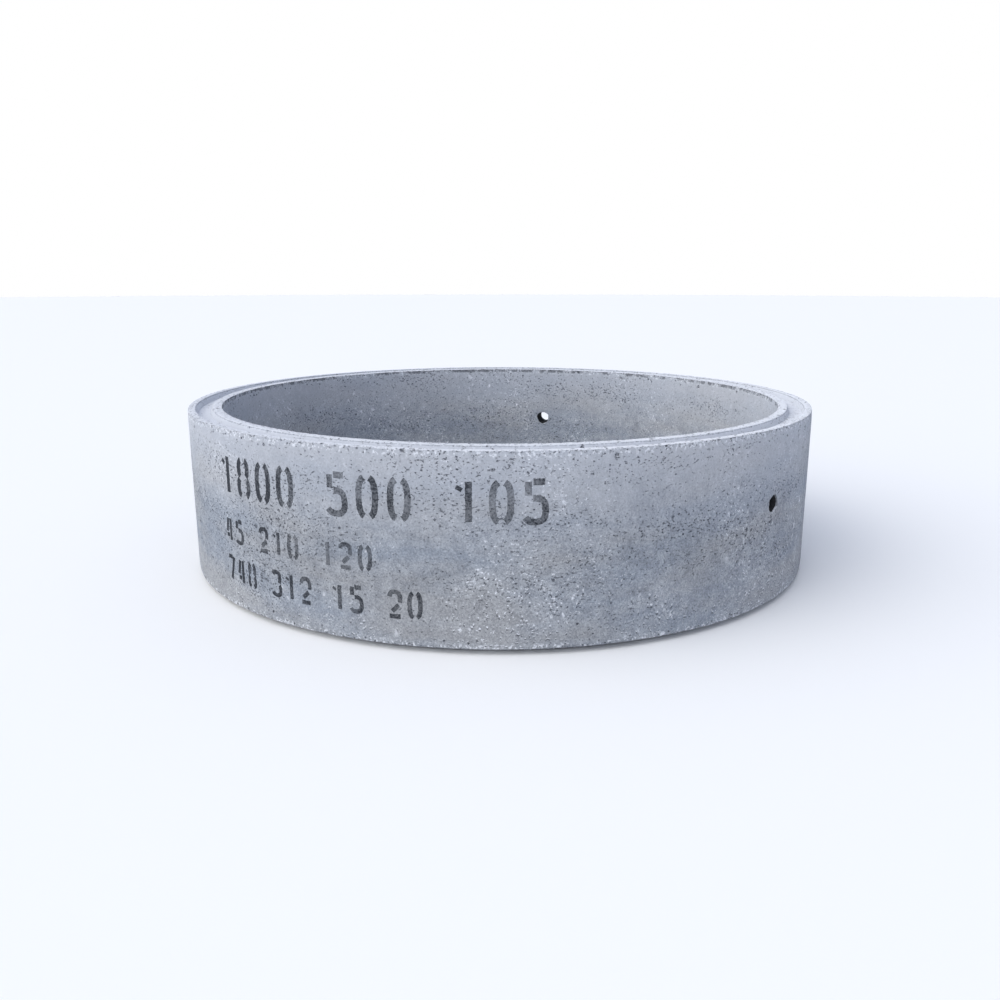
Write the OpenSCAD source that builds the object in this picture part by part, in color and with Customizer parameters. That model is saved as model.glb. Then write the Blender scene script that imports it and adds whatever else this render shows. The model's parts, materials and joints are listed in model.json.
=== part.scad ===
// Precast concrete chamber ring, standing as it is laid: groove up, tongue down.
// Rings of this kind stack on each other to line a manhole shaft, a culvert drop or a soakaway.
// Millimetres, +Z up. The origin is on the ring's axis, at the level of the tongue's foot.

/* [Ring] */
// Inside diameter of the ring
bore_d = 1800; // [900:50:3000]
// Thickness of the wall
wall = 105; // [95:5:150]
// Height that one laid ring adds to the shaft, from its shoulders to its rims
laid_h = 500; // [300:50:1000]

/* [Joint] */
// Width of the rim on the outside of the groove, at the top
outer_rim_w = 25; // [20:1:30]
// Width of the rim on the bore side of the groove, at the top
inner_rim_w = 32; // [20:1:34]
// Depth of the groove in the top end
groove_h = 20; // [15:1:30]
// How far each side of the groove leans in from its mouth to its floor
groove_lean = 6; // [2:1:7]
// Sideways room left on each side of the tongue, for the joint seal
side_gap = 3; // [2:0.5:4]
// Room left under the tongue of the ring above, for the joint seal
seal_gap = 5; // [3:1:8]
// Size of the corner taken off every edge, along each of its two faces
arris = 4; // [2:0.5:4]

/* [Lifting holes] */
// Number of lifting holes, evenly spaced round the ring
hole_count = 3; // [2:1:4]
// Diameter of each lifting hole, straight through the wall
hole_d = 45; // [35:1:60]
// Depth of the hole centres below the rims
hole_drop = 210; // [100:10:240]
// Direction of the first hole, turned from +X towards +Y
first_hole_angle = -42; // [-180:1:180]

/* [Hidden] */
$fn = 180;

// Radii of the wall and of the groove's mouth
bore_r = bore_d / 2;
outer_r = bore_r + wall;
mouth_out_r = outer_r - outer_rim_w;
mouth_in_r = bore_r + inner_rim_w;

// Heights above the tongue's foot
tongue_h = groove_h - seal_gap;
rim_z = tongue_h + laid_h;
floor_z = rim_z - groove_h;
hole_z = rim_z - hole_drop;

// The tongue's flanks run parallel to the groove's sides, side_gap inside them
root_out_r = mouth_out_r - side_gap;
root_in_r = mouth_in_r + side_gap;
tongue_lean = groove_lean * tongue_h / groove_h;

// The drill reaches this far past each face of the wall
overshoot = 10;

// A point at a distance from one corner along the way to another
function towards(from, to, distance) = from + distance * (to - from) / norm(to - from);

// Corners of the wall's section, each given as [radius, height, corner size],
// anticlockwise from the foot of the tongue
section_corners = [
    [root_in_r + tongue_lean, 0, arris],
    [root_out_r - tongue_lean, 0, arris],
    [root_out_r, tongue_h, 0],
    [outer_r, tongue_h, arris],
    [outer_r, rim_z, arris],
    [mouth_out_r, rim_z, arris],
    [mouth_out_r - groove_lean, floor_z, 0],
    [mouth_in_r + groove_lean, floor_z, 0],
    [mouth_in_r, rim_z, arris],
    [bore_r, rim_z, arris],
    [bore_r, tongue_h, arris],
    [root_in_r, tongue_h, 0]
];

// Outline of the section: a corner with a size becomes the two ends of its bevel
function bevelled(corners) = [
    for (i = [0 : len(corners) - 1])
        let (
            n = len(corners),
            here = [corners[i].x, corners[i].y],
            before = [corners[(i + n - 1) % n].x, corners[(i + n - 1) % n].y],
            after = [corners[(i + 1) % n].x, corners[(i + 1) % n].y],
            size = corners[i].z
        )
        each size > 0 ? [towards(here, before, size), towards(here, after, size)] : [here]
];

module wall_section() {
    polygon(bevelled(section_corners));
}

module lifting_hole() {
    translate([bore_r - overshoot, 0, hole_z])
        rotate([0, 90, 0])
            cylinder(d = hole_d, h = wall + 2 * overshoot, $fn = 64);
}

module concrete_ring() {
    color([0.63, 0.66, 0.71])
        difference() {
            rotate_extrude()
                wall_section();
            for (i = [0 : hole_count - 1])
                rotate([0, 0, first_hole_angle + i * 360 / hole_count])
                    lifting_hole();
        }
}

concrete_ring();
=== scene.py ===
# %% [markdown]
# # Precast concrete chamber ring
#
# The part is one ring of dry-cast concrete, 2 m across, that stacks on others to line a shaft.
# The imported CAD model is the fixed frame. It gives the main sizes and places that are used below.
# The steps are: camera and light, the concrete's finish, the ring's body with its wear, and
# the numbers stencilled on its wall.

# %% Load the frame
import json
import math
from types import SimpleNamespace

import bpy
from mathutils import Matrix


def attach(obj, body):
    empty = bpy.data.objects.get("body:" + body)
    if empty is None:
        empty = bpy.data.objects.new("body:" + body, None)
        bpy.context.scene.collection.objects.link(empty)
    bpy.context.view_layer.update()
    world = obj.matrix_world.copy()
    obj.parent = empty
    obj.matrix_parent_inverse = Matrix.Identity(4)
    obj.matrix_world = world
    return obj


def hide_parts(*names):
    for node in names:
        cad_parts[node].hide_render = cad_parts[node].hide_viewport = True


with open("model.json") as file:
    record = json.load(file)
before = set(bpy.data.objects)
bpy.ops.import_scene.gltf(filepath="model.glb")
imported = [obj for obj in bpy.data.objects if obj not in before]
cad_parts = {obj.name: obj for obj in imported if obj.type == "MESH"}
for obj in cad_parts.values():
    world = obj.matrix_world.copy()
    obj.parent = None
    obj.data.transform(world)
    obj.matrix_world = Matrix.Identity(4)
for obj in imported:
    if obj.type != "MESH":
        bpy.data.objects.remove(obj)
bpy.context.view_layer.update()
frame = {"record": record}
scene = bpy.context.scene
mounts = {mount["name"]: mount for mount in frame["record"]["mounts"]}

# %% [markdown]
# ## Two small helpers
#
# Colours are written as the hex values that a colour picker shows. Shaders work on linear light,
# so one function takes them there. The other function adds a node, sets its own properties
# and fills its sockets. A socket takes a plain value, another node's output, or a node, which
# stands for its first output. It serves the geometry trees and the materials alike.


# %% Helpers
def linear(hex_value):
    """An sRGB hex colour as linear RGBA."""
    channels = [int(hex_value[i : i + 2], 16) / 255 for i in (1, 3, 5)]
    return [c / 12.92 if c <= 0.04045 else ((c + 0.055) / 1.055) ** 2.4 for c in channels] + [1.0]


def add(tree, kind, sockets=None, **settings):
    """A new node. sockets maps an input's name or number to a value, an output or a node."""
    node = tree.nodes.new(kind)
    for name, value in settings.items():
        setattr(node, name, value)
    for name, value in (sockets or {}).items():
        if isinstance(value, bpy.types.Node):
            value = value.outputs[0]
        if isinstance(value, bpy.types.NodeSocket):
            tree.links.new(value, node.inputs[name])
        else:
            node.inputs[name].default_value = value
    return node


# %% [markdown]
# ## Camera, light and floor
#
# A ring this size is looked at from waist height, some three metres from its axis, so the near
# wall bulges towards the viewer. Outdoor concrete is lit by a wide bright part of the sky, here a
# third of the way up on the left, and the blue rest of the sky fills its shade. Both are shaders
# of the world, added together. The camera itself sees plain white behind the ring, and the floor
# is a pale disc.

# %% Camera
CAMERA_PLACE = (0.0, -3.123, 0.914)
CAMERA_TILT = math.radians(13.74)
LENS = 33.3

camera_data = bpy.data.cameras.new("camera")
camera_data.lens = LENS
camera = bpy.data.objects.new("camera", camera_data)
camera.location = CAMERA_PLACE
camera.rotation_euler = (math.pi / 2 - CAMERA_TILT, 0.0, 0.0)
scene.collection.objects.link(camera)
scene.camera = camera
scene.view_settings.view_transform = "Standard"

# %% Sky
BRIGHT_SIDE = (-0.70, -0.465, 0.543)
BRIGHT_STRENGTH, BRIGHT_NARROWNESS = 3.0, 5.0
SHADE_STRENGTH = 0.70
CLOUD_WHITE, SHADE_BLUE, PLAIN_WHITE = "#FFFCF6", "#DEE8FF", "#FFFFFF"

world = bpy.data.worlds.new("bright_cloudy_sky")
world.use_nodes = True
sky = world.node_tree
sky.nodes.clear()
looking = add(sky, "ShaderNodeTexCoord").outputs["Generated"]
leaning = add(sky, "ShaderNodeVectorMath", {0: looking, 1: BRIGHT_SIDE}, operation="DOT_PRODUCT")
facing_it = add(sky, "ShaderNodeMath", {0: leaning.outputs["Value"], 1: 0.0}, operation="MAXIMUM")
spread = add(sky, "ShaderNodeMath", {0: facing_it, 1: BRIGHT_NARROWNESS}, operation="POWER")
brightness = add(sky, "ShaderNodeMath", {0: spread, 1: BRIGHT_STRENGTH}, operation="MULTIPLY")
cloud = add(sky, "ShaderNodeBackground", {"Color": linear(CLOUD_WHITE), "Strength": brightness})
shade = add(sky, "ShaderNodeBackground", {"Color": linear(SHADE_BLUE), "Strength": SHADE_STRENGTH})
light = add(sky, "ShaderNodeAddShader", {0: cloud, 1: shade})
plain = add(sky, "ShaderNodeBackground", {"Color": linear(PLAIN_WHITE), "Strength": 1.0})
seen = add(sky, "ShaderNodeLightPath").outputs["Is Camera Ray"]
backdrop = add(sky, "ShaderNodeMixShader", {0: seen, 1: light, 2: plain})
add(sky, "ShaderNodeOutputWorld", {"Surface": backdrop})
scene.world = world

# %% Floor
FLOOR_R, FLOOR_SIDES = 40.0, 96
FLOOR_GREY, FLOOR_ROUGHNESS = "#F8F8F7", 0.9

bpy.ops.mesh.primitive_circle_add(vertices=FLOOR_SIDES, radius=FLOOR_R, fill_type="NGON")
floor = bpy.context.object
floor.name = "floor"
floor_paint = bpy.data.materials.new("matt_white_floor")
floor_paint.use_nodes = True
floor_shader = floor_paint.node_tree.nodes["Principled BSDF"]
floor_shader.inputs["Base Color"].default_value = linear(FLOOR_GREY)
floor_shader.inputs["Roughness"].default_value = FLOOR_ROUGHNESS
floor.data.materials.append(floor_paint)

# %% [markdown]
# ## Sizes taken from the frame
#
# The mounts state the bore, the wall and the levels of both joint faces. The two rims' widths, the
# lean of the groove's sides and the gap beside the tongue are not mounts, so they are written here
# as the model has them.

# %% Sizes
OUTER_RIM_W, INNER_RIM_W = 0.025, 0.032
GROOVE_LEAN, SIDE_GAP = 0.006, 0.003

bore_r = mounts["main_bore"]["dims"]["r_mm"] / 1000
wall = mounts["lifting_hole_1"]["dims"]["length_mm"] / 1000
outer_r = bore_r + wall
rim_z = mounts["rim_outer"]["pos_m"][2]
floor_z = mounts["groove_floor"]["pos_m"][2]
shoulder_z = mounts["shoulder_outer"]["pos_m"][2]
mouth_out_r, mouth_in_r = outer_r - OUTER_RIM_W, bore_r + INNER_RIM_W
print("bore radius, wall, rim height, m:", bore_r, wall, rim_z)

# %% [markdown]
# ## The finish: dry-cast concrete
#
# Dry-cast concrete is rammed into its mould nearly dry and stripped at once. Its skin is a matt
# blue-grey cement paste, cloudy where the paste is rich or lean, with sand showing as grain. Air
# leaves small open pits that crowd round the level where two rammed layers met. Lime blooms
# as pale flecks and runs. The top end is paler, partly where water dried off it and partly as
# painted light from the sky above, and so are its level faces, with dust. The pits, the cut
# hollows, the insides of the holes and a line under the bore's top corner are painted dark as
# shade. The finish is noise and Voronoi patterns in the object's own coordinates. It is built as
# layers, one small function each, because the stencilled numbers wear away to the same concrete.
# To the eye it is matt, rough and uneven, with hardly any gloss.

# %% Colours and grain of the concrete
PASTE_DARK, PASTE_LIGHT = "#80858D", "#AAAEB4"
PASTE_WARM, PASTE_BLUE = "#9B9A99", "#828D9C"
# The pit, hollow and hole colours are painted shade
PIT_SHADE, HOLE_SHADE = "#2E333D", "#2E2F31"
# The dried top and the pale level faces are partly painted light from the sky above
LIME, DRIED_AND_LIT_TOP, DUST_AND_SKYLIGHT = "#DFE2E8", "#C0C4CC", "#DADDE3"
# The sand is 1 to 2 mm across, and the smallest pits are no larger. Both are drawn coarser here,
# or they wouldn't show on a ring that is seen whole
GRAIN_MM, MOTTLE_MM, CLOUD_MM, BAND_MM = 5.0, 32.0, 300.0, 450.0
SPECK_MM, PIT_CELL_MM = 8.0, 14.0
FLECK_MM, RUN_MM, BREAK_MM, LIP_SHADE_BREAK_MM = 8.0, 20.0, 7.0, 60.0


# %% Where a point is
def whereabouts(tree):
    """Outputs that the layers share: where a point is, how it faces, its wear and the slow patterns."""
    coordinates = add(tree, "ShaderNodeTexCoord").outputs
    place, facing = coordinates["Object"], coordinates["Normal"]
    level = add(tree, "ShaderNodeVectorMath", {0: place, 1: (1.0, 1.0, 0.0)}, operation="MULTIPLY")
    outward = add(tree, "ShaderNodeVectorMath", {0: level}, operation="NORMALIZE")
    outward = add(tree, "ShaderNodeVectorMath", {0: outward, 1: facing}, operation="DOT_PRODUCT")
    clouds = {"Vector": place, "Scale": 1000 / CLOUD_MM, "Detail": 6.0, "Roughness": 0.62}
    # The bands are wide and low, as ramming leaves them
    flat = add(tree, "ShaderNodeMapping", {"Vector": place, "Scale": (1.0, 1.0, 4.0)})
    bands = {"Vector": flat, "Scale": 1000 / BAND_MM, "Detail": 5.0, "Roughness": 0.55}
    grain = {"Vector": place, "Scale": 1000 / GRAIN_MM, "Detail": 3.0, "Roughness": 0.7}
    return SimpleNamespace(
        place=place,
        height=add(tree, "ShaderNodeSeparateXYZ", {0: place}).outputs["Z"],
        upward=add(tree, "ShaderNodeSeparateXYZ", {0: facing}).outputs["Z"],
        outward=outward.outputs["Value"],
        radius=add(tree, "ShaderNodeVectorMath", {0: level}, operation="LENGTH").outputs["Value"],
        wear=add(tree, "ShaderNodeAttribute", attribute_name="corner_wear").outputs["Fac"],
        hollow=add(tree, "ShaderNodeAttribute", attribute_name="hollow").outputs["Fac"],
        clouds=add(tree, "ShaderNodeTexNoise", clouds),
        bands=add(tree, "ShaderNodeTexNoise", bands),
        grain=add(tree, "ShaderNodeTexNoise", grain),
    )


def laid_over(tree, colour, cover, top_hex):
    """The colour with another one laid over it, as thickly as the cover says."""
    sockets = {"Factor": cover, 6: colour, 7: linear(top_hex)}
    return add(tree, "ShaderNodeMix", sockets, data_type="RGBA").outputs[2]


# %% Paste
MOST_TINT = 0.38


def paste_colour(tree, at):
    """Cloudy paste: rich and lean, warm and blue, with mottling and sand grain."""
    sockets = {"Vector": at.place, "Scale": 1000 / MOTTLE_MM, "Detail": 6.0, "Roughness": 0.7}
    mottle = add(tree, "ShaderNodeTexNoise", sockets)
    both = add(tree, "ShaderNodeMath", {0: at.clouds, 1: 0.5, 2: mottle}, operation="MULTIPLY_ADD")
    tone = add(tree, "ShaderNodeMapRange", {"Value": both, "From Min": 0.52, "From Max": 0.98})
    paste = laid_over(tree, linear(PASTE_DARK), tone, PASTE_LIGHT)
    tint = add(tree, "ShaderNodeSeparateColor", {0: at.bands.outputs["Color"]}).outputs["Green"]
    for hex_value, strongest in ((PASTE_WARM, 0.36), (PASTE_BLUE, 0.64)):
        sockets = {"Value": tint, "From Min": 0.5, "From Max": strongest, "To Max": MOST_TINT}
        paste = laid_over(tree, paste, add(tree, "ShaderNodeMapRange", sockets), hex_value)
    sockets = {"Value": at.grain, "From Min": 0.3, "From Max": 0.7, "To Min": 0.7, "To Max": 1.3}
    shade = add(tree, "ShaderNodeMapRange", sockets)
    return add(tree, "ShaderNodeVectorMath", {0: paste, "Scale": shade}, operation="SCALE").outputs[0]


# %% Dried, dusty and lit top
GROOVE_DUST = 0.7
UNDER_FLOOR = 0.003


def dusty_and_lit_top(tree, at, colour):
    """Top end paler, dried and painted as lit from above; level faces dusty and painted as lit; dust in the
    groove.
    """
    # Painted light: the top end is paler, partly a band that dried and partly the sky's light from above
    sockets = {"Value": at.height, "From Min": 0.26, "From Max": 0.53, "To Max": 0.68}
    colour = laid_over(tree, colour, add(tree, "ShaderNodeMapRange", sockets), DRIED_AND_LIT_TOP)
    # Painted light and dust: faces that look up are paler, as dust and as the sky's light on them
    sockets = {"Value": at.upward, "From Min": 0.5, "From Max": 0.9, "To Max": 0.92}
    colour = laid_over(tree, colour, add(tree, "ShaderNodeMapRange", sockets), DUST_AND_SKYLIGHT)
    middle_r, half_width = (mouth_in_r + mouth_out_r) / 2, (mouth_out_r - mouth_in_r) / 2
    across = add(tree, "ShaderNodeMath", {0: at.radius, 1: middle_r, 2: half_width}, operation="COMPARE")
    up = add(tree, "ShaderNodeMath", {0: at.height, 1: floor_z - UNDER_FLOOR}, operation="GREATER_THAN")
    in_groove = add(tree, "ShaderNodeMath", {0: across, 1: up}, operation="MULTIPLY")
    cover = add(tree, "ShaderNodeMath", {0: in_groove, 1: GROOVE_DUST}, operation="MULTIPLY")
    return laid_over(tree, colour, cover, DUST_AND_SKYLIGHT)


# %% Lime flecks and runs
# Each pattern: its stretch, its grain, and where its noise starts and stops to show
LIME_PATTERNS = (((1, 1, 1.4), FLECK_MM, 0.60, 0.65), ((1, 1, 0.7), RUN_MM, 0.62, 0.70))


def lime(tree, at, colour):
    """Ragged pale flecks, and runs drawn down the wall, in loose patches."""
    sockets = {"Value": at.clouds, "From Min": 0.45, "From Max": 0.62, "To Min": 0.1}
    patches = add(tree, "ShaderNodeMapRange", sockets)
    masks = []
    for stretch, size_mm, start, full in LIME_PATTERNS:
        stretched = add(tree, "ShaderNodeMapping", {"Vector": at.place, "Scale": stretch})
        sockets = {"Vector": stretched, "Scale": 1000 / size_mm, "Detail": 4.0, "Roughness": 0.65}
        spots = add(tree, "ShaderNodeTexNoise", sockets | {"Distortion": 0.4})
        masks.append(add(tree, "ShaderNodeMapRange", {"Value": spots, "From Min": start, "From Max": full}))
    spots = add(tree, "ShaderNodeMath", {0: masks[0], 1: masks[1]}, operation="MAXIMUM")
    cover = add(tree, "ShaderNodeMath", {0: spots, 1: patches}, operation="MULTIPLY")
    return laid_over(tree, colour, cover, LIME)


# %% Where the pits crowd
LAYER_Z = 0.32


def pit_crowd(tree, at):
    """How closely the pits crowd, from 0 to 1: in bands, round the joint of the layers, and at corners."""
    off_layer = add(tree, "ShaderNodeMath", {0: at.height, 1: LAYER_Z}, operation="SUBTRACT")
    off_layer = add(tree, "ShaderNodeMath", {0: off_layer}, operation="ABSOLUTE")
    sockets = {"Value": off_layer, "From Min": 0.06, "From Max": 0.2, "To Min": 0.055, "To Max": -0.035}
    layer = add(tree, "ShaderNodeMapRange", sockets)
    crowd = add(tree, "ShaderNodeMath", {0: at.bands, 1: layer}, operation="ADD")
    sockets = {"Value": crowd, "From Min": 0.38, "From Max": 0.66, "To Min": 0.36, "To Max": 0.88}
    crowd = add(tree, "ShaderNodeMapRange", sockets)
    # At the corners the pits crowd too, and their dark specks stand in as painted shade under the broken
    # arrises
    return add(tree, "ShaderNodeMath", {0: crowd, 1: at.wear}, operation="MAXIMUM")


# %% Pits
SPECK_CROWDING = 0.17
PIT_RARITY = 2.5
WIDEST_PIT = 0.36
RAGGED = 0.006


def pit_mask(tree, at, crowd):
    """How deep in a pit a place is: the darkest specks of a fine noise, and spots round Voronoi points."""
    # Ramming flattens the pits, so both patterns are squashed in height
    squashed = add(tree, "ShaderNodeMapping", {"Vector": at.place, "Scale": (1.0, 1.0, 1.5)})
    sockets = {"Vector": squashed, "Scale": 1000 / SPECK_MM, "Detail": 3.0, "Roughness": 0.6}
    specks = add(tree, "ShaderNodeTexNoise", sockets | {"Distortion": 0.3})
    sockets = {0: crowd, 1: SPECK_CROWDING, 2: specks}
    crowded = add(tree, "ShaderNodeMath", sockets, operation="MULTIPLY_ADD")
    sockets = {"Value": crowded, "From Min": 0.72, "From Max": 0.79, "To Max": 0.85}
    small = add(tree, "ShaderNodeMapRange", sockets)

    sockets = {0: specks.outputs["Color"], 1: (RAGGED, RAGGED, RAGGED), 2: squashed}
    ragged = add(tree, "ShaderNodeVectorMath", sockets, operation="MULTIPLY_ADD")
    cells = add(tree, "ShaderNodeTexVoronoi", {"Vector": ragged, "Scale": 1000 / PIT_CELL_MM}).outputs
    draw = add(tree, "ShaderNodeSeparateColor", {0: cells["Color"]})
    share = add(tree, "ShaderNodeMath", {0: draw, 1: PIT_RARITY}, operation="POWER")
    size = add(tree, "ShaderNodeMath", {0: share, 1: crowd}, operation="MULTIPLY")
    width = add(tree, "ShaderNodeMath", {0: size, 1: WIDEST_PIT}, operation="MULTIPLY")
    inside = add(tree, "ShaderNodeMath", {0: width, 1: cells["Distance"]}, operation="SUBTRACT")
    large = add(tree, "ShaderNodeMapRange", {"Value": inside, "From Max": 0.08})
    return add(tree, "ShaderNodeMath", {0: small, 1: large}, operation="MAXIMUM")


# %% Broken places
def broken_places(tree, at, colour):
    """Painted shade in the hollows of chips, pits and holes, and bright sand along the broken corners."""
    broken = add(tree, "ShaderNodeTexNoise", {"Vector": at.place, "Scale": 1000 / BREAK_MM, "Detail": 2.0})
    # Painted shade: the cut hollows are darkened where the noise allows
    sockets = {"Value": broken, "From Min": 0.54, "From Max": 0.44, "To Max": 0.6}
    gap = add(tree, "ShaderNodeMapRange", sockets)
    gap = add(tree, "ShaderNodeMath", {0: at.hollow, 1: gap}, operation="MULTIPLY")
    colour = laid_over(tree, colour, gap, PIT_SHADE)
    sockets = {"Value": broken, "From Min": 0.52, "From Max": 0.6, "To Max": 0.75}
    sand = add(tree, "ShaderNodeMapRange", sockets)
    edge = add(tree, "ShaderNodeMapRange", {"Value": at.wear, "From Min": 0.35, "From Max": 0.65})
    sand = add(tree, "ShaderNodeMath", {0: edge, 1: sand}, operation="MULTIPLY")
    return laid_over(tree, colour, sand, LIME)


# %% Painted shade in the lifting holes
SKIN, END_ROOM = 0.006, 0.02


def painted_hole_shade(tree, at, colour):
    """Painted shade inside the wall's thickness, where there are only the holes, away from the joint faces.
    """
    sockets = {0: at.radius, 1: bore_r + wall / 2, 2: wall / 2 - SKIN}
    inside = add(tree, "ShaderNodeMath", sockets, operation="COMPARE")
    for level, side in ((floor_z - END_ROOM, "LESS_THAN"), (shoulder_z + END_ROOM, "GREATER_THAN")):
        on_side = add(tree, "ShaderNodeMath", {0: at.height, 1: level}, operation=side)
        inside = add(tree, "ShaderNodeMath", {0: inside, 1: on_side}, operation="MULTIPLY")
    return laid_over(tree, colour, inside, HOLE_SHADE)


# %% Painted shade under the bore's top corner
def painted_lip_shade(tree, at, colour):
    """Painted shade: a rough dark line just under the bore's top corner, where the broken lip shades the
    wall.
    """
    on_bore = add(tree, "ShaderNodeMapRange", {"Value": at.outward, "From Min": -0.4, "From Max": -0.8})
    close = add(tree, "ShaderNodeMapRange", {"Value": at.wear, "From Min": 0.55, "From Max": 0.72})
    sockets = {"Vector": at.place, "Scale": 1000 / LIP_SHADE_BREAK_MM, "Detail": 5.0}
    shade_gaps = add(tree, "ShaderNodeTexNoise", sockets)
    sockets = {"Value": shade_gaps, "From Min": 0.38, "From Max": 0.52, "To Max": 0.6}
    shade_gaps = add(tree, "ShaderNodeMapRange", sockets)
    # Painted shade, broken into gaps by the noise
    cover = add(tree, "ShaderNodeMath", {0: on_bore, 1: close}, operation="MULTIPLY")
    cover = add(tree, "ShaderNodeMath", {0: cover, 1: shade_gaps}, operation="MULTIPLY")
    return laid_over(tree, colour, cover, PIT_SHADE)


# %% Whole finish
PIT_COVER, GRAIN_RELIEF = 0.85, 0.35
BUMP_HEIGHT, BUMP_STRENGTH = 0.004, 0.8


def concrete_finish(tree):
    """Adds the concrete's nodes to a material's tree, and returns its colour output and its bump node."""
    at = whereabouts(tree)
    colour = paste_colour(tree, at)
    colour = dusty_and_lit_top(tree, at, colour)
    colour = lime(tree, at, colour)
    pits = pit_mask(tree, at, pit_crowd(tree, at))
    # The pits are painted dark: painted shade inside the small hollows, which the bump also sinks
    cover = add(tree, "ShaderNodeMath", {0: pits, 1: PIT_COVER}, operation="MULTIPLY")
    colour = laid_over(tree, colour, cover, PIT_SHADE)
    colour = broken_places(tree, at, colour)
    colour = painted_hole_shade(tree, at, colour)
    colour = painted_lip_shade(tree, at, colour)

    # Relief: grain, with the pits sunk into it
    grain_height = add(tree, "ShaderNodeMath", {0: at.grain, 1: GRAIN_RELIEF}, operation="MULTIPLY")
    relief = add(tree, "ShaderNodeMath", {0: grain_height, 1: pits}, operation="SUBTRACT")
    sockets = {"Height": relief, "Distance": BUMP_HEIGHT, "Strength": BUMP_STRENGTH}
    return colour, add(tree, "ShaderNodeBump", sockets)


# %% Material
def concrete_material(name, roughness):
    """A material whose nodes are the concrete's finish, with its shader, colour and bump."""
    material = bpy.data.materials.new(name)
    material.use_nodes = True
    colour, bump = concrete_finish(material.node_tree)
    shader = material.node_tree.nodes["Principled BSDF"]
    shader.inputs["Roughness"].default_value = roughness
    shader.inputs["IOR"].default_value = 1.5
    # Concrete is porous and dusty, so light spreads in it and little of it glances off
    shader.inputs["Diffuse Roughness"].default_value = 0.6
    shader.inputs["Specular IOR Level"].default_value = 0.2
    material.node_tree.links.new(colour, shader.inputs["Base Color"])
    material.node_tree.links.new(bump.outputs[0], shader.inputs["Normal"])
    print(f"{name}: {len(material.node_tree.nodes)} nodes")
    return material, colour


concrete, _ = concrete_material("dry_cast_concrete", roughness=0.88)

# %% [markdown]
# ## The wall's section
#
# The ring is cast between steel moulds, so it is one closed section turned about its axis: a
# groove in the top end and a tongue under the bottom end. Its corners break off as it is handled,
# so each free corner is a short curve here. The section is a closed line of points. Each point
# carries a number that says how near a free corner it is, for the chips and for the finish.

# %% Section of the wall
WORN_CORNER = 0.0045
LONGEST_STEP = 0.026
CORNER_STEPS = 3

tongue_lean = GROOVE_LEAN * shoulder_z / (rim_z - floor_z)

# Each corner: radius, height, share of the full wear
corners = [
    (bore_r, rim_z, 1.0),
    (mouth_in_r, rim_z, 0.6),
    (mouth_in_r + GROOVE_LEAN, floor_z, 0.0),
    (mouth_out_r - GROOVE_LEAN, floor_z, 0.0),
    (mouth_out_r, rim_z, 0.6),
    (outer_r, rim_z, 1.0),
    (outer_r, shoulder_z, 0.8),
    (mouth_out_r - SIDE_GAP, shoulder_z, 0.0),
    (mouth_out_r - SIDE_GAP - tongue_lean, 0.0, 0.6),
    (mouth_in_r + SIDE_GAP + tongue_lean, 0.0, 0.6),
    (mouth_in_r + SIDE_GAP, shoulder_z, 0.0),
    (bore_r, shoulder_z, 0.6),
]


def between(start, end, share):
    """The point that is this share of the way from start to end."""
    return tuple(a + (b - a) * share for a, b in zip(start, end))


def section_points():
    """Points round the section, each as (radius, height, wear), with worn corners rounded off."""
    points = []
    for i, (radius, height, wear) in enumerate(corners):
        corner, before, after = (radius, height), corners[i - 1][:2], corners[(i + 1) % len(corners)][:2]
        size = WORN_CORNER if wear else 0.0
        start = between(corner, before, size / math.dist(corner, before))
        end = between(corner, after, size / math.dist(corner, after))
        steps = CORNER_STEPS if wear else 0
        for k in range(steps + 1):
            share = k / steps if steps else 0.0
            on_curve = between(between(start, corner, share), between(corner, end, share), share)
            points.append((*on_curve, wear))
    full = []
    for i, point in enumerate(points):
        following = points[(i + 1) % len(points)]
        parts = math.ceil(math.dist(point[:2], following[:2]) / LONGEST_STEP)
        full.append(point)
        full.extend((*between(point[:2], following[:2], k / parts), 0.0) for k in range(1, parts))
    return full


section = section_points()
print("section:", len(section), "points")

# %% [markdown]
# ## Turning, chipping and pitting the ring
#
# The shape follows a rule, so Geometry Nodes make it. Curve to Mesh carries the section round a
# circle: it lays a profile's x outwards and its y downwards. Noise then pushes the faces
# in a little, most of all at the corners, because steel moulds leave soft waves and handling
# breaks the arrises. Chips, air pits and lifting holes are rough solids that a boolean takes away,
# so they are true hollows. The Manifold solver is the quick one, and keeps the ring closed. Both
# geometry trees of this script start and end alike, so two short functions do that.


# %% Start and end of a geometry tree
def new_tree(name, inputs):
    """A geometry tree with the given inputs and a material's, and the outputs of its input node."""
    tree = bpy.data.node_groups.new(name, "GeometryNodeTree")
    tree.interface.new_socket("Geometry", in_out="INPUT", socket_type="NodeSocketGeometry")
    tree.interface.new_socket("Geometry", in_out="OUTPUT", socket_type="NodeSocketGeometry")
    for socket, (kind, _) in inputs.items():
        tree.interface.new_socket(socket, in_out="INPUT", socket_type=kind)
    tree.interface.new_socket("Material", in_out="INPUT", socket_type="NodeSocketMaterial")
    return tree, add(tree, "NodeGroupInput").outputs


def end_tree(tree, geometry, material):
    """Ends the tree with a real mesh in its material, without instances."""
    realized = add(tree, "GeometryNodeRealizeInstances", {"Geometry": geometry})
    painted = add(tree, "GeometryNodeSetMaterial", {"Geometry": realized, "Material": material})
    add(tree, "NodeGroupOutput", {"Geometry": painted})


# %% Soft waves of the mould, which the paint follows too
# A noise's scale is how many of its waves there are in a metre
WAVE_SCALE = 4.0
LEAST_PUSH = 0.0004


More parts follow.
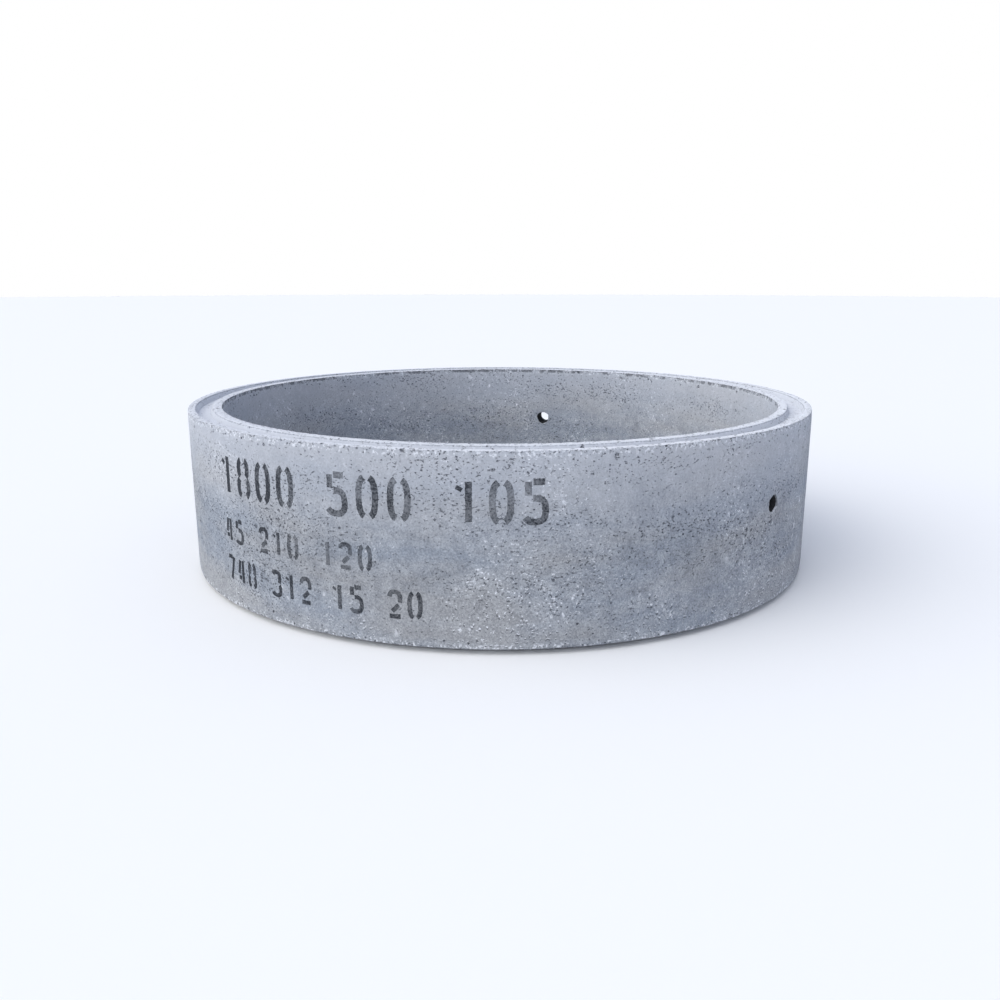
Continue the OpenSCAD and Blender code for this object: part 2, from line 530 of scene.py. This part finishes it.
def wave_push(tree, place, depth):
    """How far the mould's soft waves push a face in, in metres, at a place on the plain ring."""
    waves = add(tree, "ShaderNodeTexNoise", {"Vector": place, "Scale": WAVE_SCALE, "Detail": 1.0})
    return add(tree, "ShaderNodeMath", {0: waves, 1: depth, 2: LEAST_PUSH}, operation="MULTIPLY_ADD")


# %% Geometry tree of the ring
NIBBLE_SCALE = 60.0
WAVE_DEPTH = 0.0006
RING_INPUTS = {
    "Columns": ("NodeSocketInt", 540),
    "Wave Depth": ("NodeSocketFloat", WAVE_DEPTH),
    "Corner Wear": ("NodeSocketFloat", 0.0034),
    "Nicks Per Square Metre": ("NodeSocketFloat", 2500.0),
    "Chips Per Square Metre": ("NodeSocketFloat", 420.0),
    "Pits Per Square Metre": ("NodeSocketFloat", 120.0),
    "Seed": ("NodeSocketInt", 7),
}
ring_tree, given = new_tree("turned_and_worn_ring", RING_INPUTS)
tree = ring_tree

# Sweep the section round the ring
circle = add(tree, "GeometryNodeCurvePrimitiveCircle", {"Resolution": given["Columns"], "Radius": bore_r})
profile = add(tree, "GeometryNodeMeshToCurve", {"Mesh": given["Geometry"]})
turned = add(tree, "GeometryNodeCurveToMesh", {"Curve": circle, "Profile Curve": profile})

# Push the faces in: long waves everywhere, short ones at the corners
wear = add(tree, "GeometryNodeInputNamedAttribute", {"Name": "corner_wear"}, data_type="FLOAT")
place = add(tree, "GeometryNodeInputPosition")
nibbles = add(tree, "ShaderNodeTexNoise", {"Scale": NIBBLE_SCALE, "Detail": 3.0})
bite = add(tree, "ShaderNodeMath", {0: nibbles, 1: wear}, operation="MULTIPLY")
wave = wave_push(tree, place, given["Wave Depth"])
depth = add(tree, "ShaderNodeMath", {0: bite, 1: given["Corner Wear"], 2: wave}, operation="MULTIPLY_ADD")
inwards = add(tree, "ShaderNodeMath", {0: depth, 1: -1.0}, operation="MULTIPLY")
normal = add(tree, "GeometryNodeInputNormal")
push = add(tree, "ShaderNodeVectorMath", {0: normal, "Scale": inwards}, operation="SCALE")
worn = add(tree, "GeometryNodeSetPosition", {"Geometry": turned, "Offset": push})

# %% Cutters: nicks, chips and pits
FULL_TURN = 2 * math.pi
TURN_SEED, SIZE_SEED = 5, 11
LUMP_SCALE, LUMPINESS = 1.6, 0.45
CLUSTER_SCALE = 5.0
CORNER_PULL = 2.0

# Two rough blobs, one metre in radius: a coarse one for what is small, a finer one for what is large
lumps = add(tree, "ShaderNodeTexNoise", {"Scale": LUMP_SCALE, "Detail": 2.0})
lump_size = add(tree, "ShaderNodeMapRange", {"Value": lumps, "To Min": -LUMPINESS, "To Max": LUMPINESS})
lump_push = add(tree, "ShaderNodeVectorMath", {0: normal, "Scale": lump_size}, operation="SCALE")
blobs = []
for subdivisions in (1, 2):
    ball = add(tree, "GeometryNodeMeshIcoSphere", {"Radius": 1.0, "Subdivisions": subdivisions})
    lumpy = add(tree, "GeometryNodeSetPosition", {"Geometry": ball, "Offset": lump_push})
    # The hollow mark tells the finish where to paint shade in the cut
    sockets = {"Geometry": lumpy, "Name": "hollow", "Value": 1.0}
    blobs.append(add(tree, "GeometryNodeStoreNamedAttribute", sockets))
coarse_blob, fine_blob = blobs

# Nicks and chips sit on the corners. Pits sit anywhere, in clusters
corner_share = add(tree, "ShaderNodeMath", {0: wear, 1: CORNER_PULL}, operation="POWER")
clusters = add(tree, "ShaderNodeTexNoise", {"Scale": CLUSTER_SCALE, "Detail": 2.0})
cluster_share = add(tree, "ShaderNodeMapRange", {"Value": clusters, "From Min": 0.4, "From Max": 0.65})
sockets = {0: (0.0, 0.0, 0.0), 1: (FULL_TURN, FULL_TURN, FULL_TURN), "Seed": TURN_SEED}
turn_draw = add(tree, "FunctionNodeRandomValue", sockets, data_type="FLOAT_VECTOR")

# Each kind: its density input, where it sits, its blob, its least and most radius in metres, and
# how much rarer the large ones are
CUTTER_KINDS = (
    ("Nicks Per Square Metre", corner_share, coarse_blob, 0.0016, 0.0044, 1.3),
    ("Chips Per Square Metre", corner_share, fine_blob, 0.0032, 0.0070, 2.5),
    ("Pits Per Square Metre", cluster_share, coarse_blob, 0.0018, 0.0055, 4.0),
)
cutters = []
for kind, share, blob, least, most, rarity in CUTTER_KINDS:
    density = add(tree, "ShaderNodeMath", {0: share, 1: given[kind]}, operation="MULTIPLY")
    seed = add(tree, "ShaderNodeMath", {0: given["Seed"], 1: len(cutters)}, operation="ADD")
    sockets = {"Mesh": worn, "Density": density, "Seed": seed}
    points = add(tree, "GeometryNodeDistributePointsOnFaces", sockets)
    sockets = {2: 0.0, 3: 1.0, "Seed": SIZE_SEED + len(cutters)}
    draw = add(tree, "FunctionNodeRandomValue", sockets).outputs[1]
    draw = add(tree, "ShaderNodeMath", {0: draw, 1: rarity}, operation="POWER")
    size = add(tree, "ShaderNodeMapRange", {"Value": draw, "To Min": least, "To Max": most})
    sockets = {"Points": points, "Instance": blob, "Rotation": turn_draw, "Scale": size}
    cutters.append(add(tree, "GeometryNodeInstanceOnPoints", sockets))

# %% Lifting holes, each with a broken mouth on both faces of the wall
MOUTH_R = 0.027
DRILL_SIDES, DRILL_ROOM = 40, 0.03

for number in (1, 2, 3):
    hole = mounts[f"lifting_hole_{number}"]
    angle = math.atan2(hole["axis"][1], hole["axis"][0])
    radius = hole["dims"]["r_mm"] / 1000
    sockets = {"Vertices": DRILL_SIDES, "Radius": radius, "Depth": wall + DRILL_ROOM}
    drill = add(tree, "GeometryNodeMeshCylinder", sockets)
    # The hollow mark tells the finish where to paint shade in the hole
    sockets = {"Geometry": drill, "Name": "hollow", "Value": 1.0}
    drill = add(tree, "GeometryNodeStoreNamedAttribute", sockets)
    sockets = {"Geometry": drill, "Translation": hole["pos_m"], "Rotation": (0.0, math.pi / 2, angle)}
    cutters.append(add(tree, "GeometryNodeTransform", sockets))
    for face_r in (outer_r, bore_r):
        mouth_place = (face_r * math.cos(angle), face_r * math.sin(angle), hole["pos_m"][2])
        sockets = {"Geometry": fine_blob, "Translation": mouth_place, "Rotation": (number, face_r, angle)}
        cutters.append(add(tree, "GeometryNodeTransform", sockets | {"Scale": (MOUTH_R, MOUTH_R, MOUTH_R)}))

# %% Take the cutters away and finish the tree
cut = add(tree, "GeometryNodeMeshBoolean", {"Mesh 1": worn}, operation="DIFFERENCE", solver="MANIFOLD")
for cutter in cutters:
    tree.links.new(cutter.outputs[0], cut.inputs["Mesh 2"])
end_tree(tree, cut, given["Material"])

# %% [markdown]
# ## Making a tree's result a plain mesh
#
# The section goes into an object as a loop of edges with its wear numbers. The tree is put on it,
# its inputs are set, and the result is taken back as an ordinary mesh, so that nothing after it
# depends on a live modifier. The stencilled numbers take the same way.

# %% Plain mesh from a tree
SHARP_ANGLE = math.radians(32)


def shaped(name, mesh, tree, inputs, material):
    """An object with the plain mesh that the tree makes of the given mesh."""
    obj = bpy.data.objects.new(name, mesh)
    scene.collection.objects.link(obj)
    modifier = obj.modifiers.new(tree.name, "NODES")
    modifier.node_group = tree
    values = {socket: value for socket, (_, value) in inputs.items()} | {"Material": material}
    for item in tree.interface.items_tree:
        if item.item_type == "SOCKET" and item.in_out == "INPUT" and item.name in values:
            modifier[item.identifier] = values[item.name]
    evaluated = obj.evaluated_get(bpy.context.evaluated_depsgraph_get())
    result = bpy.data.meshes.new_from_object(evaluated)
    obj.modifiers.clear()
    obj.data = result
    result.name = name
    # The cut ring comes with an empty material slot as well, so its one material is set afresh
    result.materials.clear()
    result.materials.append(material)
    result.polygons.foreach_set("material_index", [0] * len(result.polygons))
    result.shade_smooth()
    result.set_sharp_from_angle(angle=SHARP_ANGLE)
    triangles = sum(len(polygon.vertices) - 2 for polygon in result.polygons)
    print(f"{name}: {len(result.vertices)} vertices, {triangles} triangles")
    return obj


# %% Ring body
loop = bpy.data.meshes.new("section")
loop.from_pydata(
    [(radius - bore_r, -height, 0.0) for radius, height, _ in section],
    [(i, (i + 1) % len(section)) for i in range(len(section))],
    [],
)
loop.attributes.new("corner_wear", "FLOAT", "POINT").data.foreach_set("value", [w for _, _, w in section])
ring = shaped("ring_body", loop, ring_tree, RING_INPUTS, concrete)
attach(ring, "root")
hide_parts("concrete_ring")

# %% [markdown]
# ## Numbers stencilled on the wall
#
# A yard sprays a ring's sizes on it through a card stencil, in thin dark paint. A stencil letter is
# cut in strokes that don't meet, so that the card holds together. Each digit here is a few strokes
# in a square one unit wide and high: straight ones from point to point, and round ones as arcs of
# a squarish oval. The numbers are plain sizes: bore, height and wall, then the lifting holes'
# width, depth and spacing, then the mass, the volume, the tongue and the groove. They are built
# flat and then wrapped round the wall as a film.


# %% Strokes of each digit
ARC_STEPS, SQUARISHNESS = 12, 0.75


def arc(centre_x, centre_y, radius_x, radius_y, start, end):
    """Points of a squarish oval from one angle to another, in degrees."""
    points = []
    for k in range(ARC_STEPS + 1):
        turn = math.radians(start + (end - start) * k / ARC_STEPS)
        across, up = math.cos(turn), math.sin(turn)
        x = centre_x + radius_x * math.copysign(abs(across) ** SQUARISHNESS, across)
        y = centre_y + radius_y * math.copysign(abs(up) ** SQUARISHNESS, up)
        points.append((x, y))
    return points


STROKES = {
    "0": [arc(0.5, 0.5, 0.5, 0.5, 105, 255), arc(0.5, 0.5, 0.5, 0.5, 75, -75)],
    "1": [[(0.60, 0.0), (0.60, 1.0)], [(0.02, 0.78), (0.14, 0.88)]],
    "2": [arc(0.5, 0.72, 0.5, 0.28, 170, -25), [(0.85, 0.47), (0.22, 0.20)], [(0.0, 0.0), (1.0, 0.0)]],
    "3": [arc(0.45, 0.75, 0.5, 0.25, 150, -50), arc(0.45, 0.25, 0.55, 0.25, 45, -150)],
    "4": [[(0.34, 1.0), (0.04, 0.38)], [(0.0, 0.22), (0.50, 0.22)], [(0.78, 1.0), (0.78, 0.0)]],
    "5": [[(0.30, 1.0), (0.95, 1.0)], [(0.05, 1.0), (0.05, 0.66)], arc(0.42, 0.3, 0.58, 0.3, 97, -150)],
    "7": [[(0.0, 1.0), (0.72, 1.0)], [(0.98, 1.0), (0.40, 0.0)]],
    "8": [
        arc(0.5, 0.76, 0.44, 0.24, 110, 235),
        arc(0.5, 0.76, 0.44, 0.24, 70, -55),
        arc(0.5, 0.26, 0.5, 0.26, 130, 245),
        arc(0.5, 0.26, 0.5, 0.26, 50, -65),
    ],
}

# %% Rows of numbers
# Each row: its text, its left end and its pitch round the wall, its foot below the rim, its digits'
# width and height between the strokes' middles, all in millimetres
ROWS = (
    ("1800 500 105", -848, 83, 174, 44, 98),
    ("45 210 120", -848, 55, 310, 28, 60),
    ("748 312 15 20", -848, 52, 423, 28, 64),
)


def flat_strokes():
    """Points and edges of all the strokes, flat: x runs round the wall from the front, y upwards."""
    points, edges = [], []
    for text, left, pitch, foot, width, height in ROWS:
        for place, digit in enumerate(text):
            for stroke in STROKES.get(digit, []):
                first = len(points)
                for x, y in stroke:
                    along = (left + pitch * place + width * x) / 1000
                    points.append((along, rim_z + (height * y - foot) / 1000, 0.0))
                edges.extend((k, k + 1) for k in range(first, len(points) - 1))
    return points, edges


points, edges = flat_strokes()
print("stencil:", len(points), "points")

# %% [markdown]
# ## Wrapping the paint on the wall
#
# The tree turns each stroke into a flat bar, roughens its edge where the spray crept under the
# card, and rolls it round the wall. The bar stands a fifth of a millimetre proud and is
# sunk into the concrete behind, so no edge of it lifts off. It reads the same waves as the wall.

# %% Geometry tree of the paint
CREEP_SCALE = 210.0
PAINT_INPUTS = {
    "Stroke Width": ("NodeSocketFloat", 0.0165),
    "Small Stroke Width": ("NodeSocketFloat", 0.0115),
    "Large Digits Above": ("NodeSocketFloat", rim_z - 0.2),
    "Film": ("NodeSocketFloat", 0.0002),
    "Sunk": ("NodeSocketFloat", 0.0008),
    "Creep": ("NodeSocketFloat", 0.0022),
    "Step": ("NodeSocketFloat", 0.003),
    "Wave Depth": ("NodeSocketFloat", WAVE_DEPTH),
}
paint_tree, given = new_tree("stencilled_paint", PAINT_INPUTS)
tree = paint_tree

# A bar along each stroke. Its profile is one unit wide, and is scaled to the stroke
lines = add(tree, "GeometryNodeMeshToCurve", {"Mesh": given["Geometry"]})
stepped = add(tree, "GeometryNodeResampleCurve", {"Curve": lines, "Length": given["Step"]}, mode="LENGTH")
upright = add(tree, "GeometryNodeSetCurveNormal", {"Curve": stepped}, mode="Z_UP")
place = add(tree, "GeometryNodeInputPosition")
height = add(tree, "ShaderNodeSeparateXYZ", {0: place}).outputs["Y"]
large = add(tree, "ShaderNodeMath", {0: height, 1: given["Large Digits Above"]}, operation="GREATER_THAN")
small_w, large_w = given["Small Stroke Width"], given["Stroke Width"]
width = add(tree, "ShaderNodeMapRange", {"Value": large, "To Min": small_w, "To Max": large_w})
bar = add(tree, "GeometryNodeCurvePrimitiveQuadrilateral", {"Width": 1.0, "Height": 0.1})
sockets = {"Curve": upright, "Profile Curve": bar, "Scale": width, "Fill Caps": True}
swept = add(tree, "GeometryNodeCurveToMesh", sockets)

# Roughen the outline in its plane
creep = add(tree, "ShaderNodeTexNoise", {"Scale": CREEP_SCALE, "Detail": 1.0}).outputs["Color"]
creep = add(tree, "ShaderNodeVectorMath", {0: creep, 1: (0.5, 0.5, 0.5)}, operation="SUBTRACT")
creep = add(tree, "ShaderNodeVectorMath", {0: creep, "Scale": given["Creep"]}, operation="SCALE")
in_plane = add(tree, "ShaderNodeVectorMath", {0: creep, 1: (2.0, 2.0, 0.0)}, operation="MULTIPLY")
rough = add(tree, "GeometryNodeSetPosition", {"Geometry": swept, "Offset": in_plane})

# Roll it round the wall: x becomes an angle, y a height, and z the film's outer or inner face
flat = add(tree, "ShaderNodeSeparateXYZ", {0: place}).outputs
turn = add(tree, "ShaderNodeMath", {0: flat["X"], 1: outer_r}, operation="DIVIDE")
turn = add(tree, "ShaderNodeMath", {0: turn, 1: math.pi / 2}, operation="SUBTRACT")
across = add(tree, "ShaderNodeMath", {0: turn}, operation="COSINE")
along = add(tree, "ShaderNodeMath", {0: turn}, operation="SINE")
outwards = add(tree, "ShaderNodeCombineXYZ", {0: across, 1: along, 2: 0.0})
lifted = add(tree, "ShaderNodeCombineXYZ", {0: 0.0, 1: 0.0, 2: flat["Y"]})
sockets = {0: outwards, 1: (outer_r, outer_r, outer_r), 2: lifted}
on_wall = add(tree, "ShaderNodeVectorMath", sockets, operation="MULTIPLY_ADD")
sunk = add(tree, "ShaderNodeMath", {0: given["Sunk"], 1: -1.0}, operation="MULTIPLY")
outer_side = add(tree, "ShaderNodeMath", {0: flat["Z"], 1: 0.0}, operation="GREATER_THAN")
face = add(tree, "ShaderNodeMapRange", {"Value": outer_side, "To Min": sunk, "To Max": given["Film"]})
wave = wave_push(tree, on_wall, given["Wave Depth"])
proud = add(tree, "ShaderNodeMath", {0: face, 1: wave}, operation="SUBTRACT")
rise = add(tree, "ShaderNodeVectorMath", {0: outwards, "Scale": proud}, operation="SCALE")
placed = add(tree, "ShaderNodeVectorMath", {0: on_wall, 1: rise}, operation="ADD")
wrapped = add(tree, "GeometryNodeSetPosition", {"Geometry": rough, "Position": placed})
end_tree(tree, wrapped, given["Material"])

# %% [markdown]
# ## The finish: worn stencil paint
#
# The paint is a thin matt black marking paint, sprayed on damp concrete. It soaks in, so it has no
# gloss of its own, and it has come off the sand grains and the lean paste. So its finish is the
# concrete's own, with the paint's dark grey over it where a noise pattern leaves it. The middle
# row got the least paint, and the left end of all rows the most.

# %% Paint finish
PAINT = "#2A2E35"
# The bare specks are sand grains of 1 to 2 mm, and are drawn as coarse as the concrete's grain
PAINT_SPECK_MM, PAINT_PATCH_MM = 5.0, 70.0
LEAST_COVER = 0.63

paint, bare = concrete_material("worn_stencil_paint", roughness=0.8)
tree = paint.node_tree
place = add(tree, "ShaderNodeTexCoord").outputs["Object"]
sides = add(tree, "ShaderNodeSeparateXYZ", {0: place}).outputs

# What the upper row, the lowest row and the left end have more than the middle row
upper = {"Value": sides["Z"], "From Min": rim_z - 0.24, "From Max": rim_z - 0.18, "To Max": 0.05}
lowest = {"Value": sides["Z"], "From Min": rim_z - 0.34, "From Max": rim_z - 0.36, "To Max": 0.12}
leftmost = {"Value": sides["X"], "From Min": -0.5, "From Max": -0.75, "To Max": 0.35}
cover = LEAST_COVER
for sockets in (upper, lowest, leftmost):
    more = add(tree, "ShaderNodeMapRange", sockets)
    cover = add(tree, "ShaderNodeMath", {0: cover, 1: more}, operation="ADD")
for size_mm, weight in ((PAINT_SPECK_MM, 1.1), (PAINT_PATCH_MM, 0.9)):
    spots = add(tree, "ShaderNodeTexNoise", {"Vector": place, "Scale": 1000 / size_mm, "Detail": 3.0})
    centred = add(tree, "ShaderNodeMath", {0: spots, 1: 0.5}, operation="SUBTRACT")
    cover = add(tree, "ShaderNodeMath", {0: centred, 1: weight, 2: cover}, operation="MULTIPLY_ADD")
cover = add(tree, "ShaderNodeMapRange", {"Value": cover, "From Min": 0.1, "From Max": 0.9, "To Max": 0.97})
painted = laid_over(tree, bare, cover, PAINT)
tree.links.new(painted, tree.nodes["Principled BSDF"].inputs["Base Color"])

# %% Stencilled numbers
strokes = bpy.data.meshes.new("strokes")
strokes.from_pydata(points, edges, [])
numbers = shaped("stencilled_sizes", strokes, paint_tree, PAINT_INPUTS, paint)
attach(numbers, "root")
